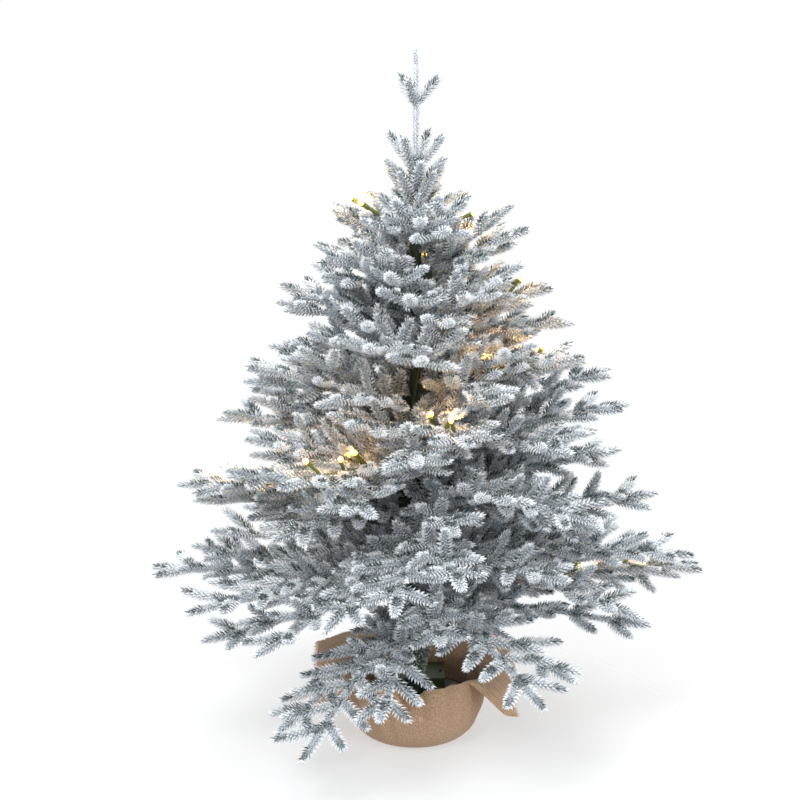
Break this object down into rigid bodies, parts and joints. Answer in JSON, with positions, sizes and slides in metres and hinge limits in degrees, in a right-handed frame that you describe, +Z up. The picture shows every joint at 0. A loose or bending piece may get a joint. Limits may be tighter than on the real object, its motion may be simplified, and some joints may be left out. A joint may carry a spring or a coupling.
{
  "type": "artificial tabletop tree",
  "caption": "Snow-flocked tabletop conifer with hinged branches and warm white battery lights, standing in a weighted tub inside a gathered burlap sack.",
  "frame": {"origin": "centre of the sack's flat bottom, under the trunk", "axes": "+Z up along the trunk; -Y is the front"},
  "size_m": [0.6204, 0.5262, 0.75],
  "materials": {
    "flocked_needles": "moulded needles with white flocking on their ends",
    "olive_plastic": "soft PVC lead and bulb holder",
    "burlap": "coarse natural jute weave",
    "tub_plastic": "recycled polypropylene",
    "cement": "cast, trowelled flat",
    "trunk_paint": "dark green powder coat",
    "green_plastic": "moulded dark green",
    "green_wrap": "cut green film wrap with white flocking",
    "clip_paint": "dark green powder coat",
    "pin_steel": "plain steel",
    "led_lens": "warm white lens, lit",
    "box_plastic": "fine moulded texture",
    "black_plastic": "ribbed slider",
    "cell_jacket": "plain printed jacket",
    "contact_metal": "nickel plated",
    "board": "solder mask"
  },
  "bodies": {
    "root": {"burlap_sack": "burlap", "weight_tub": "tub_plastic", "cement_fill": "cement", "trunk_pole": "trunk_paint", "trunk_foot_sleeve": "green_plastic", "trunk_wrap": "green_wrap", "pole_cap": "green_plastic", "leader": "flocked_needles", "branch_clips": "clip_paint", "hinge_pins": "pin_steel", "light_wire": "olive_plastic", "leader_bulb_holders": "olive_plastic", "leader_leds": "led_lens", "battery_case": "box_plastic", "battery_cells": "cell_jacket", "cell_springs": "contact_metal", "contact_plates": "contact_metal", "timer_board": "board"},
    "battery_cover": {"battery_cover": "box_plastic", "cover_screw": "pin_steel"},
    "switch": {"switch_slider": "black_plastic"},
    "branch_01": {"branch_01": "flocked_needles"},
    "branch_02": {"branch_02": "flocked_needles", "lights_02": "olive_plastic"},
    "branch_03": {"branch_03": "flocked_needles"},
    "branch_04": {"branch_04": "flocked_needles"},
    "branch_05": {"branch_05": "flocked_needles", "lights_05": "olive_plastic"},
    "branch_06": {"branch_06": "flocked_needles"},
    "branch_07": {"branch_07": "flocked_needles"},
    "branch_08": {"branch_08": "flocked_needles", "lights_08": "olive_plastic"},
    "branch_09": {"branch_09": "flocked_needles"},
    "branch_10": {"branch_10": "flocked_needles"},
    "branch_11": {"branch_11": "flocked_needles", "lights_11": "olive_plastic"},
    "branch_12": {"branch_12": "flocked_needles"},
    "branch_13": {"branch_13": "flocked_needles"},
    "branch_14": {"branch_14": "flocked_needles", "lights_14": "olive_plastic"},
    "branch_15": {"branch_15": "flocked_needles"},
    "branch_16": {"branch_16": "flocked_needles"},
    "branch_17": {"branch_17": "flocked_needles", "lights_17": "olive_plastic"},
    "branch_18": {"branch_18": "flocked_needles"},
    "branch_19": {"branch_19": "flocked_needles"},
    "branch_20": {"branch_20": "flocked_needles", "lights_20": "olive_plastic"},
    "branch_21": {"branch_21": "flocked_needles"},
    "branch_22": {"branch_22": "flocked_needles"},
    "branch_23": {"branch_23": "flocked_needles", "lights_23": "olive_plastic"},
    "branch_24": {"branch_24": "flocked_needles"},
    "branch_25": {"branch_25": "flocked_needles"},
    "branch_26": {"branch_26": "flocked_needles", "lights_26": "olive_plastic"},
    "branch_27": {"branch_27": "flocked_needles"},
    "branch_28": {"branch_28": "flocked_needles"},
    "branch_29": {"branch_29": "flocked_needles"},
    "branch_30": {"branch_30": "flocked_needles"}
  },
  "joints": [
    {"name": "fold_01", "type": "hinge", "parent": "root", "child": "branch_01", "pos_m": [-0.00528, -0.01133, 0.146], "axis": [-0.9063, 0.4226, 0], "range_deg": [0, 64.77]},
    {"name": "fold_02", "type": "hinge", "parent": "root", "child": "branch_02", "pos_m": [0.01155, 0.00479, 0.15437], "axis": [0.3828, -0.9238, 0], "range_deg": [0, 50.06]},
    {"name": "fold_03", "type": "hinge", "parent": "root", "child": "branch_03", "pos_m": [-0.01175, 0.00427, 0.16456], "axis": [0.3418, 0.9398, 0], "range_deg": [0, 50.77]},
    {"name": "fold_04", "type": "hinge", "parent": "root", "child": "branch_04", "pos_m": [0.00578, -0.01108, 0.17559], "axis": [-0.8868, -0.4621, 0], "range_deg": [0, 58.6]},
    {"name": "fold_05", "type": "hinge", "parent": "root", "child": "branch_05", "pos_m": [0.00323, 0.01208, 0.18719], "axis": [0.9661, -0.2583, 0], "range_deg": [0, 47.18]},
    {"name": "fold_06", "type": "hinge", "parent": "root", "child": "branch_06", "pos_m": [-0.01054, -0.00672, 0.19925], "axis": [-0.5379, 0.843, 0], "range_deg": [0, 49.14]},
    {"name": "fold_07", "type": "hinge", "parent": "root", "child": "branch_07", "pos_m": [0.01231, -0.00216, 0.21167], "axis": [-0.1728, -0.985, 0], "range_deg": [0, 45.43]},
    {"name": "fold_08", "type": "hinge", "parent": "root", "child": "branch_08", "pos_m": [-0.00762, 0.00991, 0.2244], "axis": [0.7928, 0.6095, 0], "range_deg": [0, 44.29]},
    {"name": "fold_09", "type": "hinge", "parent": "root", "child": "branch_09", "pos_m": [-0.00108, -0.01245, 0.23742], "axis": [-0.9963, 0.086, 0], "range_deg": [0, 48.87]},
    {"name": "fold_10", "type": "hinge", "parent": "root", "child": "branch_10", "pos_m": [0.0092, 0.00846, 0.25068], "axis": [0.6765, -0.7364, 0], "range_deg": [0, 40.69]},
    {"name": "fold_11", "type": "hinge", "parent": "root", "child": "branch_11", "pos_m": [-0.0125, -0.00002, 0.26416], "axis": [-0.0014, 1, 0], "range_deg": [0, 41.4]},
    {"name": "fold_12", "type": "hinge", "parent": "root", "child": "branch_12", "pos_m": [0.00923, -0.00843, 0.27785], "axis": [-0.6745, -0.7383, 0], "range_deg": [0, 41.51]},
    {"name": "fold_13", "type": "hinge", "parent": "root", "child": "branch_13", "pos_m": [-0.00111, 0.01245, 0.29172], "axis": [0.996, 0.0888, 0], "range_deg": [0, 37.8]},
    {"name": "fold_14", "type": "hinge", "parent": "root", "child": "branch_14", "pos_m": [-0.00759, -0.00993, 0.30577], "axis": [-0.7945, 0.6073, 0], "range_deg": [0, 37.62]},
    {"name": "fold_15", "type": "hinge", "parent": "root", "child": "branch_15", "pos_m": [0.01231, 0.00219, 0.31999], "axis": [0.1756, -0.9845, 0], "range_deg": [0, 34.21]},
    {"name": "fold_16", "type": "hinge", "parent": "root", "child": "branch_16", "pos_m": [-0.01056, 0.00669, 0.33435], "axis": [0.5355, 0.8445, 0], "range_deg": [0, 34.91]},
    {"name": "fold_17", "type": "hinge", "parent": "root", "child": "branch_17", "pos_m": [0.00326, -0.01207, 0.34886], "axis": [-0.9653, -0.261, 0], "range_deg": [0, 33.91]},
    {"name": "fold_18", "type": "hinge", "parent": "root", "child": "branch_18", "pos_m": [0.00575, 0.0111, 0.36351], "axis": [0.8881, -0.4596, 0], "range_deg": [0, 31.32]},
    {"name": "fold_19", "type": "hinge", "parent": "root", "child": "branch_19", "pos_m": [-0.01174, -0.0043, 0.37829], "axis": [-0.3444, 0.9388, 0], "range_deg": [0, 27.86]},
    {"name": "fold_20", "type": "hinge", "parent": "root", "child": "branch_20", "pos_m": [0.01156, -0.00475, 0.39319], "axis": [-0.3802, -0.9249, 0], "range_deg": [0, 28.49]},
    {"name": "fold_21", "type": "hinge", "parent": "root", "child": "branch_21", "pos_m": [-0.00531, 0.01131, 0.40821], "axis": [0.9051, 0.4251, 0], "range_deg": [0, 28.42]},
    {"name": "fold_22", "type": "hinge", "parent": "root", "child": "branch_22", "pos_m": [-0.00372, -0.01193, 0.42335], "axis": [-0.9546, 0.2979, 0], "range_deg": [0, 25.37]},
    {"name": "fold_23", "type": "hinge", "parent": "root", "child": "branch_23", "pos_m": [0.01081, 0.00628, 0.43859], "axis": [0.5027, -0.8645, 0], "range_deg": [0, 24.83]},
    {"name": "fold_24", "type": "hinge", "parent": "root", "child": "branch_24", "pos_m": [-0.01221, 0.00267, 0.45393], "axis": [0.2133, 0.977, 0], "range_deg": [0, 25.54]},
    {"name": "fold_25", "type": "hinge", "parent": "root", "child": "branch_25", "pos_m": [0.0072, -0.01022, 0.46938], "axis": [-0.8172, -0.5763, 0], "range_deg": [0, 21.65]},
    {"name": "fold_26", "type": "hinge", "parent": "root", "child": "branch_26", "pos_m": [0.00159, 0.0124, 0.48492], "axis": [0.9919, -0.1271, 0], "range_deg": [0, 21.94]},
    {"name": "fold_27", "type": "hinge", "parent": "root", "child": "branch_27", "pos_m": [-0.00955, -0.00807, 0.50056], "axis": [-0.6456, 0.7637, 0], "range_deg": [0, 17.76]},
    {"name": "fold_28", "type": "hinge", "parent": "root", "child": "branch_28", "pos_m": [0.01249, -0.0005, 0.51628], "axis": [-0.0399, -0.9992, 0], "range_deg": [0, 18.35]},
    {"name": "fold_29", "type": "hinge", "parent": "root", "child": "branch_29", "pos_m": [-0.00887, 0.0088, 0.5321], "axis": [0.7043, 0.7099, 0], "range_deg": [0, 19.05]},
    {"name": "fold_30", "type": "hinge", "parent": "root", "child": "branch_30", "pos_m": [0.0006, -0.01249, 0.548], "axis": [-0.9989, -0.0477, 0], "range_deg": [0, 14.75]},
    {"name": "battery_cover_lift", "type": "slide", "parent": "root", "child": "battery_cover", "axis": [0, 0, 1], "range_m": [0, 0.018]},
    {"name": "switch_slide", "type": "slide", "parent": "root", "child": "switch", "axis": [0, 1, 0], "range_m": [-0.002, 0.002]}
  ],
  "couplings": [
    {"joint": "fold_01", "follows": "fold_02", "ratio": 1.2937},
    {"joint": "fold_03", "follows": "fold_02", "ratio": 1.014},
    {"joint": "fold_04", "follows": "fold_02", "ratio": 1.1703},
    {"joint": "fold_05", "follows": "fold_02", "ratio": 0.9422},
    {"joint": "fold_06", "follows": "fold_02", "ratio": 0.9815},
    {"joint": "fold_07", "follows": "fold_02", "ratio": 0.9074},
    {"joint": "fold_08", "follows": "fold_02", "ratio": 0.8845},
    {"joint": "fold_09", "follows": "fold_02", "ratio": 0.9761},
    {"joint": "fold_10", "follows": "fold_02", "ratio": 0.8127},
    {"joint": "fold_11", "follows": "fold_02", "ratio": 0.8269},
    {"joint": "fold_12", "follows": "fold_02", "ratio": 0.8291},
    {"joint": "fold_13", "follows": "fold_02", "ratio": 0.7549},
    {"joint": "fold_14", "follows": "fold_02", "ratio": 0.7512},
    {"joint": "fold_15", "follows": "fold_02", "ratio": 0.6831},
    {"joint": "fold_16", "follows": "fold_02", "ratio": 0.6972},
    {"joint": "fold_17", "follows": "fold_02", "ratio": 0.6772},
    {"joint": "fold_18", "follows": "fold_02", "ratio": 0.6254},
    {"joint": "fold_19", "follows": "fold_02", "ratio": 0.5564},
    {"joint": "fold_20", "follows": "fold_02", "ratio": 0.569},
    {"joint": "fold_21", "follows": "fold_02", "ratio": 0.5676},
    {"joint": "fold_22", "follows": "fold_02", "ratio": 0.5065},
    {"joint": "fold_23", "follows": "fold_02", "ratio": 0.4958},
    {"joint": "fold_24", "follows": "fold_02", "ratio": 0.5099},
    {"joint": "fold_25", "follows": "fold_02", "ratio": 0.4323},
    {"joint": "fold_26", "follows": "fold_02", "ratio": 0.4381},
    {"joint": "fold_27", "follows": "fold_02", "ratio": 0.3546},
    {"joint": "fold_28", "follows": "fold_02", "ratio": 0.3664},
    {"joint": "fold_29", "follows": "fold_02", "ratio": 0.3803},
    {"joint": "fold_30", "follows": "fold_02", "ratio": 0.2945}
  ]
}
